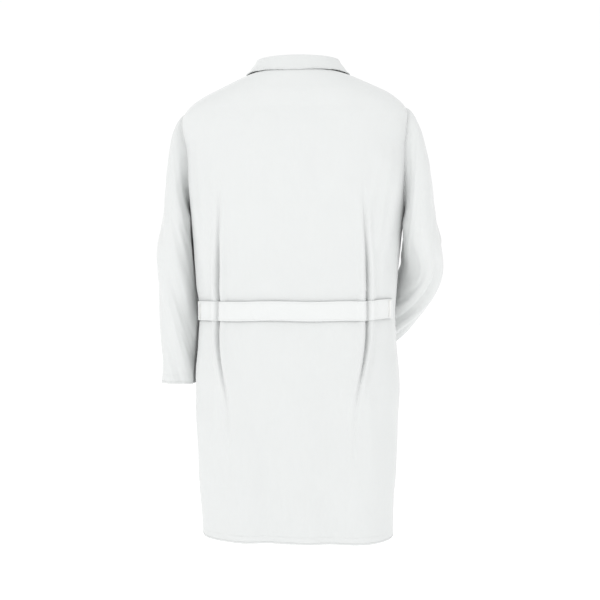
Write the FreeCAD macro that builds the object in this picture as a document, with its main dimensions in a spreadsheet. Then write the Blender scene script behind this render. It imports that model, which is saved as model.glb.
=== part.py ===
"""Lab coat: a knee-length buttoned coat of woven cloth, built up from its cut pieces.

Frame: millimetres, +Z up, the coat's front faces -Y and the wearer's left is +X.
The origin is at the base of the neck, between the shoulders.  Cloth pieces are cut
from thin shells between two lofts of elliptical sections; a "layer" is how far a
loft lies outside (+) or inside (-) the outer face of the body cloth.
"""
import FreeCAD, Part
import os

doc = FreeCAD.newDocument("lab_coat")
sheet = doc.addObject("Spreadsheet::Sheet", "Sizes")
nodes = {}
used_rows = []


def size(alias, value):
    """Write one driving dimension in the sheet and return how an expression names it."""
    used_rows.append(alias)
    row = len(used_rows)
    sheet.set(f"A{row}", alias)
    sheet.set(f"B{row}", str(value))
    sheet.setAlias(f"B{row}", alias)
    return f"Sizes.{alias}"


# Driving dimensions --------------------------------------------------------------------

SINGLE_SIZES = {
    "cloth": 2.0,            # body cloth with its seam allowance
    "ease": 0.5,             # air between two layers of cloth
    "thin_cloth": 1.5,       # facings, hems, lapels and pocket faces
    "hem_level": -1010.0,
    "hem_tall": 16.0,
    "break_level": -385.0,   # where the lapels roll open
    "panel_top": -380.0,     # the fronts swing below this level
    "side_seam": -10.0,      # y of the seam between the back and a front
    "hinge_side": 185.0,     # x of the line that a front swings about
    "overlap": 20.0,         # how far a front passes the centre line
    "neckline_half": 60.0,
    "lapel_top": -62.0,
    "lapel_wide_top": 106.0,
    "lapel_wide_low": 13.0,
    "facing_wide": 70.0,
    "belt_middle": -521.0,
    "belt_tall": 42.0,
    "belt_half": 214.0,
    "belt_lift": 3.0,        # room for the gathered cloth under the belt
    "tack_near": 203.0,      # the bars of stitches at the ends of the belt
    "tack_wide": 3.0,
    "collar_top": 35.0,
    "stand_low": 8.0,
    "fall_low": 2.5,
    "button_radius": 9.5,
    "button_thick": 3.5,
    "button_bowl": 1.0,
    "button_hole": 1.1,
    "button_first": -402.0,
    "button_step": 118.0,
    "shank_radius": 2.2,
    "slot_half": 13.0,
    "slot_tall": 24.0,
    "elbow_level": -432.0,
    "elbow_gap": 1.2,
    "cuff_level": -682.0,
    "cuff_hem_tall": 20.0,
    "crook": 20.0,           # the elbow axis lies this far in front of the arm's middle
    "crook_back": 3.0,
    "arm_turn": 35.24,       # direction in which the right forearm points, about Z
    "arm_bend": 57.0,        # how far the right elbow is bent
    "loop_half": 24.0,
    "loop_cord": 1.6,
    "loop_level": 14.0,
    "loop_depth": 62.0,
}
for word, number in SINGLE_SIZES.items():
    size(word, number)

# Body sections: level, half width, half depth, and the shares of a layer's offset that
# go sideways, forwards and upwards there.
TORSO = {
    "neck": (6, 96, 74, 1.0, 1.0, 0.0),
    "yoke": (-6, 130, 84, 0.38, 0.53, 0.92),
    "slope": (-29, 178, 96, 0.45, 0.68, 0.89),
    "point": (-51, 218, 106, 0.68, 0.80, 0.73),
    "armhole": (-80, 241, 114, 0.95, 0.96, 0.25),
    "chest": (-130, 244, 122, 1.0, 1.0, 0.0),
    "underarm": (-300, 236, 130, 1.0, 1.0, 0.0),
    "waist": (-520, 219, 122, 1.0, 1.0, 0.0),
    "hip": (-700, 226, 127, 1.0, 1.0, 0.0),
    "hem": ("Sizes.hem_level", 212, 124, 1.0, 1.0, 0.0),
}

# Sleeve sections: level, distance of the middle from the centre line, y, half width,
# half depth and the same three shares.
UPPER_SLEEVE = {
    "cap": (-64, 232, 0, 14, 26, 0.5, 0.5, 0.9),
    "cap_low": (-80, 226, 0, 32, 48, 0.7, 0.7, 0.6),
    "head": (-100, 226, 0, 43, 60, 0.9, 0.9, 0.3),
    "bicep_top": (-125, 230, 0, 47, 68, 1.0, 1.0, 0.0),
    "bicep": (-163, 238, 0, 46, 72, 1.0, 1.0, 0.0),
    "armpit": (-240, 258, 0, 40, 75, 1.0, 1.0, 0.0),
    "under": (-300, 269, 0, 35.5, 74, 1.0, 1.0, 0.0),
}
LEFT_ARM = {
    "elbow": ("Sizes.elbow_level", 274, -4, 38, 64, 1.0, 1.0, 0.0),
    "cuff": ("Sizes.cuff_level", 270, -6, 37, 52, 1.0, 1.0, 0.0),
}
RIGHT_ARM = {
    "bent_elbow": ("Sizes.elbow_level", 279, -18, 37, 61, 1.0, 1.0, 0.0),
}
FOREARM = {
    "fore_top": ("Sizes.elbow_level", 279, -18, 37, 60, 1.0, 1.0, 0.0),
    "fore_cuff": ("Sizes.cuff_level", 279, -18, 35, 50, 1.0, 1.0, 0.0),
}
levels = {}


def write_rows(table, parts):
    """Write each section's numbers; a level that another size drives is only named."""
    for name, row in table.items():
        levels[name] = row[0] if isinstance(row[0], str) else size(f"{name}_z", row[0])
        for part, number in zip(parts, row[1:]):
            size(f"{name}_{part}", number)


write_rows(TORSO, ("wide", "deep", "side", "face", "rise"))
for arm_table in (UPPER_SLEEVE, LEFT_ARM, RIGHT_ARM, FOREARM):
    write_rows(arm_table, ("out", "y", "wide", "deep", "side", "face", "rise"))
doc.recompute()


# Small makers ---------------------------------------------------------------------------

def bind(obj, **expressions):
    """Bind properties of an object to expressions; Base_x stands for Placement.Base.x."""
    for key, expression in expressions.items():
        path = key.replace("Base_", "Placement.Base.")
        obj.setExpression(path, str(expression))
    return obj


def turned(obj, axis, angle):
    """Give an object's placement a rotation; its place is bound afterwards."""
    obj.Placement = FreeCAD.Placement(FreeCAD.Vector(), FreeCAD.Rotation(axis, angle))
    return obj


def loft(label, sections):
    """A closed solid through a row of ellipses."""
    solid = doc.addObject("Part::Loft", label)
    solid.Sections = sections
    solid.Solid = True
    solid.Ruled = True
    return solid


def cut(label, base, tool):
    result = doc.addObject("Part::Cut", label)
    result.Refine = False
    result.Base = base
    result.Tool = tool
    return result


def common(label, base, tool):
    result = doc.addObject("Part::Common", label)
    result.Refine = False
    result.Base = base
    result.Tool = tool
    return result


def cut_all(label, base, tools):
    for number, tool in enumerate(tools, 1):
        base = cut(f"{label}_cut_{number}", base, tool)
    return base


def block(label, low, high):
    """A box between two corners, each a triple of expressions."""
    box = doc.addObject("Part::Box", label)
    bind(box, Base_x=low[0], Base_y=low[1], Base_z=low[2])
    return bind(box, Length=f"({high[0]}) - ({low[0]})", Width=f"({high[1]}) - ({low[1]})",
                Height=f"({high[2]}) - ({low[2]})")


def node(name, obj):
    """Keep an object as a sub-part: its label is the name of its file."""
    obj.Label = name
    nodes[name] = obj
    return obj


# Lofts of the body and its layers -------------------------------------------------------

torso_lofts = {}
torso_shells = {}


def torso(layer):
    """The body's solid with its surface moved outwards by a layer expression."""
    if layer not in torso_lofts:
        number = len(torso_lofts) + 1
        sections = []
        for name in TORSO:
            ring = doc.addObject("Part::Ellipse", f"{name}_ring_{number}")
            bind(ring, MajorRadius=f"Sizes.{name}_wide + ({layer}) * Sizes.{name}_side",
                 MinorRadius=f"Sizes.{name}_deep + ({layer}) * Sizes.{name}_face",
                 Base_z=f"{levels[name]} + ({layer}) * Sizes.{name}_rise")
            sections.append(ring)
        torso_lofts[layer] = loft(f"body_layer_{number}", sections)
    return torso_lofts[layer]


def shell(inner, outer):
    """The cloth between two layers, open at the neck and at the hem."""
    key = (inner, outer)
    if key not in torso_shells:
        torso_shells[key] = cut(f"body_shell_{len(torso_shells) + 1}", torso(outer), torso(inner))
    return torso_shells[key]


CLOTH = "Sizes.cloth"
EASE = "Sizes.ease"
THIN = "Sizes.thin_cloth"
FAR = "400"
BODY = (f"-{CLOTH}", "0")
OVER = (EASE, f"{EASE} + {CLOTH}")
UNDER = (f"-{CLOTH} - {EASE} - {THIN}", f"-{CLOTH} - {EASE}")
LEFT_UNDER = (f"{EASE} - 0.3 - {THIN}", f"{EASE} - 0.3")
RIGHT_LAPEL = (f"{EASE}", f"{EASE} + {THIN}")
LEFT_LAPEL = (f"{OVER[1]} + {EASE}", f"{OVER[1]} + {EASE} + {THIN}")


# Sleeves --------------------------------------------------------------------------------

def sleeve_ring(name, tag, side, layer, turn=0.0):
    """One elliptical sleeve section; its longer half size runs fore and aft."""
    ring = doc.addObject("Part::Ellipse", f"{name}_ring_{tag}")
    turned(ring, FreeCAD.Vector(0, 0, 1), 90 + turn)
    return bind(ring, MajorRadius=f"Sizes.{name}_deep + ({layer}) * Sizes.{name}_face",
                MinorRadius=f"Sizes.{name}_wide + ({layer}) * Sizes.{name}_side",
                Base_x=f"{side} * Sizes.{name}_out", Base_y=f"Sizes.{name}_y",
                Base_z=f"{levels[name]} + ({layer}) * Sizes.{name}_rise")


def sleeve_solid(tag, names, side, layer, turn=0.0):
    rings = [sleeve_ring(name, tag, side, layer, turn) for name in names]
    return loft(f"sleeve_solid_{tag}", rings)


def elbow_wedge(tag, side, name, turn):
    """A square bar with one edge behind the elbow axis: the room a bend needs in front."""
    bar = doc.addObject("Part::Box", f"elbow_wedge_{tag}")
    bind(bar, Length="300", Width="200", Height="200")
    yaw = FreeCAD.Rotation(FreeCAD.Vector(0, 0, 1), turn)
    tip = FreeCAD.Rotation(FreeCAD.Vector(1, 0, 0), 135)
    bar.Placement = FreeCAD.Placement(FreeCAD.Vector(), yaw * tip)
    reach = "(Sizes.crook - Sizes.crook_back)"
    return bind(bar,
                Base_x=f"{side} * Sizes.{name}_out + {reach} * sin({turn}) - 150 * cos({turn})",
                Base_y=f"Sizes.{name}_y - {reach} * cos({turn}) - 150 * sin({turn})",
                Base_z="Sizes.elbow_level")


upper = list(UPPER_SLEEVE)
body_room = torso(f"{CLOTH} + 4.5 * {EASE}")
left_names = upper + list(LEFT_ARM)
left_solid = sleeve_solid("left", left_names, 1, "0")
left_hollow = sleeve_solid("left_hollow", left_names, 1, f"-{CLOTH}")
left_tube = cut_all("left_tube", left_solid, [body_room, left_hollow])
right_names = upper + list(RIGHT_ARM)
right_solid = sleeve_solid("right", right_names, -1, "0")
right_hollow = sleeve_solid("right_hollow", right_names, -1, f"-{CLOTH}")
right_tube = cut_all("right_tube", right_solid, [body_room, right_hollow])

half_gap = "Sizes.elbow_gap / 2"
above = block("above_elbow", (f"-{FAR}", "-200", f"Sizes.elbow_level + {half_gap}"),
              (FAR, "200", "0"))
below = block("below_elbow", (f"-{FAR}", "-200", "Sizes.cuff_level - 1"),
              (FAR, "200", f"Sizes.elbow_level - {half_gap}"))
left_wedge = elbow_wedge("left", 1, "elbow", 0)
node("left_upper_sleeve", cut("left_upper", common("left_above", left_tube, above), left_wedge))
node("left_lower_sleeve", cut("left_lower", common("left_below", left_tube, below), left_wedge))

ARM_TURN = SINGLE_SIZES["arm_turn"]
right_wedge = elbow_wedge("right", -1, "bent_elbow", ARM_TURN)
node("right_upper_sleeve", cut("right_upper", common("right_above", right_tube, above), right_wedge))


def bent(obj):
    """Turn a straight forearm piece to the right elbow's bend, about the elbow axis."""
    yaw = FreeCAD.Rotation(FreeCAD.Vector(0, 0, 1), ARM_TURN)
    forward = yaw.multVec(FreeCAD.Vector(0, -1, 0))
    axis = yaw.multVec(FreeCAD.Vector(-1, 0, 0))
    middle = FreeCAD.Vector(-sheet.bent_elbow_out, sheet.bent_elbow_y, sheet.elbow_level)
    pivot = middle + forward * sheet.crook
    turn = FreeCAD.Rotation(axis, sheet.arm_bend)
    obj.Placement = FreeCAD.Placement(FreeCAD.Vector(), turn, pivot)
    return obj


fore_names = list(FOREARM)
fore_solid = sleeve_solid("fore", fore_names, -1, "0", ARM_TURN)
fore_hollow = sleeve_solid("fore_hollow", fore_names, -1, f"-{CLOTH}", ARM_TURN)
fore_tube = cut("fore_tube", fore_solid, fore_hollow)
fore_low = cut("fore_low", common("fore_below", fore_tube, below), right_wedge)
node("right_lower_sleeve", bent(fore_low))

cuff_band = block("cuff_band", (f"-{FAR}", "-200", "Sizes.cuff_level"),
                  (FAR, "200", "Sizes.cuff_level + Sizes.cuff_hem_tall"))


def cuff_hem(tag, names, side, turn):
    """The turned-up cloth inside a sleeve's end."""
    outer = sleeve_solid(f"{tag}_hem_out", names, side, f"-{CLOTH} - 0.3", turn)
    inner = sleeve_solid(f"{tag}_hem_in", names, side, f"-{CLOTH} - 0.3 - {THIN}", turn)
    return common(f"{tag}_hem", cut(f"{tag}_hem_tube", outer, inner), cuff_band)


node("left_cuff_hem", cuff_hem("left", left_names, 1, 0))
node("right_cuff_hem", bent(cuff_hem("right", fore_names, -1, ARM_TURN)))


# Body cloth -----------------------------------------------------------------------------

behind = block("behind_seam", (f"-{FAR}", "Sizes.side_seam + 0.2", "-1100"), (FAR, FAR, "100"))
back = common("back_cloth", shell(*BODY), behind)
node("back_panel", cut_all("back", back, [left_hollow, right_hollow]))


def neckline():
    """The open V between the fronts, narrow at the break and wide at the neck."""
    wedge = doc.addObject("Part::Wedge", "neckline_wedge")
    turned(wedge, FreeCAD.Vector(1, 0, 0), 90)
    slope = "Sizes.neckline_half"
    return bind(wedge, Xmin="-0.1", Xmax="0.1", Zmin="0", Zmax="300", Ymin="0",
                Ymax="20 - Sizes.break_level", X2min=f"-{slope}", X2max=slope, Z2min="0",
                Z2max="300", Base_z="Sizes.break_level")


neck_v = neckline()
front_left_room = block("front_left_room", ("0.4", f"-{FAR}", "-1100"),
                        (FAR, "Sizes.side_seam - 0.2", "100"))
front_right_room = block("front_right_room", (f"-{FAR}", f"-{FAR}", "-1100"),
                         ("-0.4", "Sizes.side_seam - 0.2", "100"))
left_swing = block("left_swing", ("-50", f"-{FAR}", "-1100"),
                   ("Sizes.hinge_side + 0.4", "0", "Sizes.panel_top + 0.6"))
right_swing = block("right_swing", ("-Sizes.hinge_side - 0.4", f"-{FAR}", "-1100"),
                    ("50", "0", "Sizes.panel_top + 0.6"))
left_chest = common("left_front_cloth", shell(*OVER), front_left_room)
node("left_front_chest", cut_all("left_chest", left_chest, [neck_v, left_swing, left_hollow]))
right_chest = common("right_front_cloth", shell(*BODY), front_right_room)
node("right_front_chest", cut_all("right_chest", right_chest, [neck_v, right_swing, right_hollow]))

left_panel_room = block("left_panel_room", ("-Sizes.overlap", f"-{FAR}", "Sizes.hem_level"),
                        ("Sizes.hinge_side", "0", "Sizes.panel_top"))
right_panel_room = block("right_panel_room", ("-Sizes.hinge_side", f"-{FAR}", "Sizes.hem_level"),
                         ("Sizes.overlap", "0", "Sizes.panel_top"))


# Buttons, their threads and the buttonholes ----------------------------------------------

BUTTONS = 4


def button_level(number):
    return f"Sizes.button_first - {number - 1} * Sizes.button_step"


def front_depth(number):
    """How far the body cloth stands in front of the centre at a button's level."""
    level = sheet.button_first - (number - 1) * sheet.button_step
    rows = [(sheet.get(levels[name].removeprefix("Sizes.")), sheet.get(f"{name}_deep"))
            for name in TORSO]
    for (upper_z, upper_deep), (lower_z, lower_deep) in zip(rows, rows[1:]):
        if lower_z <= level <= upper_z:
            share = (upper_z - level) / (upper_z - lower_z)
            return round(upper_deep + share * (lower_deep - upper_deep), 2)
    raise ValueError(f"button {number} is off the coat")


def disc(label, radius, thick, depth, level, across="0", up="0"):
    """A short cylinder lying along Y, its back face at the given depth."""
    body = doc.addObject("Part::Cylinder", label)
    turned(body, FreeCAD.Vector(1, 0, 0), 90)
    return bind(body, Radius=radius, Height=thick, Base_x=across, Base_y=depth,
                Base_z=f"({level}) + ({up})")


def button(number):
    """A round button with a shallow bowl and four thread holes."""
    level = button_level(number)
    depth = f"-{front_depth(number)} - ({OVER[1]}) - 1.2"
    body = disc(f"button_disc_{number}", "Sizes.button_radius", "Sizes.button_thick", depth, level)
    tools = [disc(f"button_bowl_{number}", "Sizes.button_radius - 2.2", "Sizes.button_bowl + 1",
                  f"{depth} - Sizes.button_thick + Sizes.button_bowl", level)]
    for across in ("-2", "2"):
        for up in ("-2", "2"):
            tools.append(disc(f"button_hole_{number}", "Sizes.button_hole", "20",
                              f"{depth} + 5", level, across, up))
    return node(f"button_{number}", cut_all(f"button_{number}_body", body, tools))


left_slots = []
shanks = []
welts = []
for count in range(1, BUTTONS + 1):
    button(count)
    place = button_level(count)
    slot = block(f"button_slot_{count}",
                 ("-Sizes.slot_half", f"-{FAR}", f"{place} - Sizes.slot_tall / 2"),
                 ("Sizes.slot_half", "0", f"{place} + Sizes.slot_tall / 2"))
    left_slots.append(slot)
    shanks.append(disc(f"shank_{count}", "Sizes.shank_radius", f"{EASE} + {CLOTH} + 0.6",
                       f"-{front_depth(count)} - 0.4", place))
    fill = block(f"welt_fill_{count}",
                 ("-Sizes.slot_half + 0.4", f"-{FAR}", f"{place} - Sizes.slot_tall / 2 + 0.4"),
                 ("Sizes.slot_half - 0.4", "0", f"{place} + Sizes.slot_tall / 2 - 0.4"))
    eye = disc(f"welt_eye_{count}", "Sizes.shank_radius + 1", "60",
               f"-{front_depth(count)} + 20", place)
    welts.append(cut(f"welt_{count}", common(f"welt_cloth_{count}", shell(*OVER), fill), eye))


def group(label, members):
    """Several separate solids of one kind kept together in one node."""
    bundle = doc.addObject("Part::Compound", label)
    bundle.Links = members
    return node(label, bundle)


group("thread_shanks", shanks)
group("buttonhole_welts", welts)
left_panel = common("left_panel_cloth", shell(*OVER), left_panel_room)
node("left_front_panel", cut_all("left_panel", left_panel, left_slots))
node("right_front_panel", common("right_panel", shell(*BODY), right_panel_room))


# Facings, hems, lapels --------------------------------------------------------------------

def strip(name, layers, low, high):
    """A strip of cloth in a pair of layers, between two corners."""
    return node(name, common(f"{name}_strip", shell(*layers), block(f"{name}_room", low, high)))


hem_top = "Sizes.hem_level + Sizes.hem_tall"
facing_low = f"{hem_top} + 1"
strip("left_front_facing", LEFT_UNDER, ("Sizes.overlap + 4", f"-{FAR}", facing_low),
      ("Sizes.facing_wide", "0", "Sizes.panel_top - 2"))
strip("right_front_facing", UNDER, ("-Sizes.facing_wide", f"-{FAR}", facing_low),
      ("Sizes.overlap - 1", "0", "Sizes.panel_top - 2"))
strip("left_front_hem", LEFT_UNDER, ("Sizes.overlap + 4", f"-{FAR}", "Sizes.hem_level"),
      ("Sizes.hinge_side - 3", "0", hem_top))
strip("right_front_hem", UNDER, ("-Sizes.hinge_side + 3", f"-{FAR}", "Sizes.hem_level"),
      ("Sizes.overlap - 1", "0", hem_top))
strip("back_hem", UNDER, (f"-{FAR}", "Sizes.side_seam + 2", "Sizes.hem_level"),
      (FAR, FAR, hem_top))
strip("back_neck_facing", UNDER, ("-110", "20", "-75"), ("110", FAR, "5"))
strip("neck_label", (f"{UNDER[0]} - 1", f"{UNDER[0]} - 0.3"), ("-32", "20", "-66"),
      ("32", FAR, "-40"))
strip("back_belt", ("Sizes.belt_lift", f"Sizes.belt_lift + {THIN}"),
      ("-Sizes.belt_half", "Sizes.side_seam + 2", "Sizes.belt_middle - Sizes.belt_tall / 2"),
      ("Sizes.belt_half", FAR, "Sizes.belt_middle + Sizes.belt_tall / 2"))


def lapel(name, layers, side):
    """A lapel: narrow at the break, wide at the notch, along the edge of the neckline."""
    wedge = doc.addObject("Part::Wedge", f"{name}_wedge")
    turned(wedge, FreeCAD.Vector(1, 0, 0), 90)
    low = "Sizes.break_level + 12"
    slant = "Sizes.neckline_half / (20 - Sizes.break_level)"
    edge_low = f"{slant} * 12 + 1"
    edge_top = f"{slant} * (Sizes.lapel_top - Sizes.break_level) + 1"
    near = {"Xmin": edge_low, "X2min": edge_top, "Xmax": "Sizes.lapel_wide_low",
            "X2max": "Sizes.lapel_wide_top"}
    if side < 0:
        near = {"Xmin": "-Sizes.lapel_wide_low", "X2min": "-Sizes.lapel_wide_top",
                "Xmax": f"-({edge_low})", "X2max": f"-({edge_top})"}
    bind(wedge, Zmin="0", Zmax="300", Ymin="0", Ymax=f"Sizes.lapel_top - ({low})", Z2min="0",
         Z2max="300", Base_z=low, **near)
    return node(name, common(f"{name}_cloth", shell(*layers), wedge))


lapel("left_lapel", LEFT_LAPEL, 1)
lapel("right_lapel", RIGHT_LAPEL, -1)


# Pockets ----------------------------------------------------------------------------------

def pocket(name, base, depth, sides, levels):
    """A patch pocket: a face and a rim, open at the top, standing off the cloth."""
    near, far = sides
    low, high = levels
    face = f"{base} + {depth} + {THIN}"
    outside = common(f"{name}_outside", shell(base, face),
                     block(f"{name}_room", (near, f"-{FAR}", low), (far, "0", high)))
    inside = common(f"{name}_inside", shell(f"{base} - 0.2", f"{base} + {depth}"),
                    block(f"{name}_mouth", (f"{near} + 2", f"-{FAR}", f"{low} + 2"),
                          (f"{far} - 2", "0", f"{high} + 5")))
    return node(name, cut(f"{name}_body", outside, inside))


size("pocket_near", 40)
size("pocket_far", 155)
size("pocket_low", -800)
size("pocket_top", -610)
size("chest_pocket_near", 70)
size("chest_pocket_far", 155)
size("chest_pocket_low", -345)
size("chest_pocket_top", -230)
size("pocket_depth", 12)
size("chest_pocket_depth", 12)
LEFT_FACE = f"{OVER[1]} + 0.3"
pocket("left_pocket", LEFT_FACE, "Sizes.pocket_depth", ("Sizes.pocket_near", "Sizes.pocket_far"),
       ("Sizes.pocket_low", "Sizes.pocket_top"))
pocket("right_pocket", "0.3", "Sizes.pocket_depth", ("-Sizes.pocket_far", "-Sizes.pocket_near"),
       ("Sizes.pocket_low", "Sizes.pocket_top"))
pocket("chest_pocket", LEFT_FACE, "Sizes.chest_pocket_depth",
       ("Sizes.chest_pocket_near", "Sizes.chest_pocket_far"),
       ("Sizes.chest_pocket_low", "Sizes.chest_pocket_top"))


# Collar, loop and bar tacks -----------------------------------------------------------------

def ring_loft(label, rows):
    """A solid through ellipses given as (half width, half depth, level) expressions."""
    rings = []
    for number, (wide, deep, level) in enumerate(rows, 1):
        ring = doc.addObject("Part::Ellipse", f"{label}_ring_{number}")
        rings.append(bind(ring, MajorRadius=wide, MinorRadius=deep, Base_z=level))
    return loft(label, rings)


size("stand_wide", 90)
size("stand_deep", 72)
size("fold_wide", 93)
size("fold_deep", 76)
size("fall_wide", 113)
size("fall_deep", 99)
collar_front = block("collar_front", ("-62", f"-{FAR}", "-100"), ("62", "0", "100"))
stand_out = ring_loft("stand_outside", [("Sizes.stand_wide", "Sizes.stand_deep", "Sizes.stand_low"),
                                        ("Sizes.stand_wide", "Sizes.stand_deep", "Sizes.collar_top")])
stand_in = ring_loft("stand_inside", [(f"Sizes.stand_wide - {THIN}", f"Sizes.stand_deep - {THIN}",
                                       "Sizes.stand_low"),
                                      (f"Sizes.stand_wide - {THIN}", f"Sizes.stand_deep - {THIN}",
                                       "Sizes.collar_top")])
node("collar_stand", cut_all("stand", stand_out, [stand_in, collar_front]))
fall_out = ring_loft("fall_outside", [("Sizes.fall_wide", "Sizes.fall_deep", "Sizes.fall_low"),
                                      ("Sizes.fold_wide", "Sizes.fold_deep", "Sizes.collar_top")])
fall_in = ring_loft("fall_inside", [(f"Sizes.fall_wide - {CLOTH}", f"Sizes.fall_deep - {CLOTH}",
                                     "Sizes.fall_low"),
                                    (f"Sizes.fold_wide - {CLOTH}", f"Sizes.fold_deep - {CLOTH}",
                                     "Sizes.collar_top")])
node("collar_fall", cut_all("fall", fall_out, [fall_in, collar_front]))

loop = doc.addObject("Part::Torus", "loop_arc")
loop.Angle3 = 180
turned(loop, FreeCAD.Vector(1, 0, 0), -90)
bind(loop, Radius1="Sizes.loop_half", Radius2="Sizes.loop_cord", Base_y="Sizes.loop_depth",
     Base_z="Sizes.loop_level")
node("hanging_loop", loop)


def loop_tack(number, across):
    """A stitched block that holds one end of the loop to the collar stand."""
    return block(f"loop_tack_{number}",
                 (f"{across} - 3", "Sizes.loop_depth - 2", "Sizes.loop_level + 1.9"),
                 (f"{across} + 3", "Sizes.loop_depth + 4.5", "Sizes.loop_level + 7.5"))


group("loop_tacks", [loop_tack(1, "-Sizes.loop_half"), loop_tack(2, "Sizes.loop_half")])


def belt_tack(number, across):
    """A bar of stitches across one end of the belt."""
    room = block(f"belt_tack_room_{number}",
                 (across, "0", "Sizes.belt_middle - Sizes.belt_tall / 2 + 2"),
                 (f"{across} + Sizes.tack_wide", FAR, "Sizes.belt_middle + Sizes.belt_tall / 2 - 2"))
    layer = (f"Sizes.belt_lift + {THIN} + 0.1", f"Sizes.belt_lift + {THIN} + 0.7")
    return common(f"belt_tack_{number}", shell(*layer), room)


group("belt_bar_tacks", [belt_tack(1, "-Sizes.tack_near - Sizes.tack_wide"),
                         belt_tack(2, "Sizes.tack_near")])


# Check and write ------------------------------------------------------------------------------

doc.recompute()
for obj in doc.Objects:
    if "Invalid" in obj.State or "Error" in obj.State:
        raise SystemExit(f"{obj.Label} did not compute: {obj.getStatusString()}")
os.makedirs("parts", exist_ok=True)
for name, obj in nodes.items():
    shape = obj.Shape
    if shape.isNull() or not shape.isValid() or not shape.Solids:
        raise SystemExit(f"{name} has no valid shape")
    box = shape.optimalBoundingBox(False, False)
    shape.exportStep(os.path.join("parts", f"{name}.step"))
    print(f"{name:22s} solids {len(shape.Solids)} volume {shape.Volume:10.0f}  "
          f"x {box.XMin:7.1f} {box.XMax:7.1f}  y {box.YMin:7.1f} {box.YMax:7.1f}  "
          f"z {box.ZMin:8.1f} {box.ZMax:7.1f}")
print(f"{len(nodes)} nodes")
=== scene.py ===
import math

import bmesh
import bpy
import numpy as np
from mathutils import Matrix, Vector


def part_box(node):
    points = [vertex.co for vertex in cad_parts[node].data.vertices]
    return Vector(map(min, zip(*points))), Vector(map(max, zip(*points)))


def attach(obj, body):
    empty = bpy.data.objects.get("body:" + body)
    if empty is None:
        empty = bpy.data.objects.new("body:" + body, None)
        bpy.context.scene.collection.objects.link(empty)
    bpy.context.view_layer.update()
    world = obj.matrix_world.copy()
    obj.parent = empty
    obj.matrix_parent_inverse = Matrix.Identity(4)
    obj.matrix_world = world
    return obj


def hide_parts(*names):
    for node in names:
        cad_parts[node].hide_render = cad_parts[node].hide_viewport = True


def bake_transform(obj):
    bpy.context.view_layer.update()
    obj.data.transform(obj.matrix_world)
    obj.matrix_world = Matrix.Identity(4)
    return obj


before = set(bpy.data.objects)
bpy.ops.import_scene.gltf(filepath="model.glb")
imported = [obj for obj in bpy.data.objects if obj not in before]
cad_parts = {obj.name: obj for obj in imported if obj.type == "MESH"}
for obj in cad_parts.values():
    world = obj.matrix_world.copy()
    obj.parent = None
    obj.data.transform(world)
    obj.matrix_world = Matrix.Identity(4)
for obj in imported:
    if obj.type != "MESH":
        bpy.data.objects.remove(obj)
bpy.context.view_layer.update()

# The lab coat's cloth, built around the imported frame.  Metres, +Z up, front faces -Y,
# the wearer's left is +X.  A "layer" is a distance along the cloth's outward normal.

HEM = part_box("back_panel")[0].z
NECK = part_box("back_panel")[1].z
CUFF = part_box("left_lower_sleeve")[0].z
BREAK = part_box("left_front_panel")[1].z - 0.005
BELT_LOW, BELT_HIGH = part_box("back_belt")[0].z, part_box("back_belt")[1].z
HEM_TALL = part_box("back_hem")[1].z - HEM

# Level, half width and half depth of the body, as in the frame's sections.
BODY_ROWS = [
    (NECK, 0.096, 0.074), (-0.006, 0.130, 0.084), (-0.029, 0.178, 0.096),
    (-0.051, 0.217, 0.106), (-0.080, 0.241, 0.114), (-0.130, 0.244, 0.122),
    (-0.300, 0.236, 0.130), (-0.520, 0.219, 0.122), (-0.700, 0.226, 0.127),
    (HEM, 0.214, 0.124),
]
BACK_POWER = 2.95            # how square the back's section is: 2 is an ellipse
FRONT_POWER = 2.15
CLOTH = 0.0009
TUCK_SIDE = 0.157            # how far each waist tuck lies from the centre back


# Small numeric helpers -----------------------------------------------------------------

def smooth(x, low, high):
    """0 before low, 1 after high, and a smooth step between them."""
    t = np.clip((np.asarray(x, float) - low) / (high - low), 0, 1)
    return t * t * (3 - 2 * t)


def bump(x, middle, width):
    return np.exp(-(((x - middle) / width) ** 2))


def lattice(seed):
    return np.random.RandomState(seed).rand(64, 64)


def value_noise(u, v, scale, seed):
    """Smooth noise from -1 to 1, about one feature each scale metres."""
    grid = lattice(seed)
    x, y = np.asarray(u) / scale + 17.3, np.asarray(v) / scale + 31.7
    i, j = np.floor(x).astype(int), np.floor(y).astype(int)
    fx, fy = smooth(x - i, 0, 1), smooth(y - j, 0, 1)
    low = grid[i % 64, j % 64] * (1 - fx) + grid[(i + 1) % 64, j % 64] * fx
    high = grid[i % 64, (j + 1) % 64] * (1 - fx) + grid[(i + 1) % 64, (j + 1) % 64] * fx
    return 2 * (low * (1 - fy) + high * fy) - 1


def spline(points, count):
    """Points along a smooth curve through the given ones, evenly spaced."""
    points = np.array(points, float)
    ends = [2 * points[0] - points[1], *points, 2 * points[-1] - points[-2]]
    fine = []
    for a, b, c, d in zip(ends, ends[1:], ends[2:], ends[3:]):
        for t in np.linspace(0, 1, 24, endpoint=False):
            fine.append(0.5 * (2 * b + (c - a) * t + (2 * a - 5 * b + 4 * c - d) * t ** 2
                               + (3 * b - a - 3 * c + d) * t ** 3))
    fine = np.array(fine + [points[-1]])
    along = np.r_[0, np.cumsum(np.linalg.norm(np.diff(fine, axis=0), axis=1))]
    spots = np.linspace(0, along[-1], count)
    return np.stack([np.interp(spots, along, fine[:, k]) for k in range(fine.shape[1])], 1)


# The body's surface ---------------------------------------------------------------------

PROFILE = spline(BODY_ROWS, 900)
PROFILE_Z = PROFILE[::-1, 0]


def widths(z):
    """Half width and half depth of the body at a level."""
    return (np.interp(z, PROFILE_Z, PROFILE[::-1, 1]), np.interp(z, PROFILE_Z, PROFILE[::-1, 2]))


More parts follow.
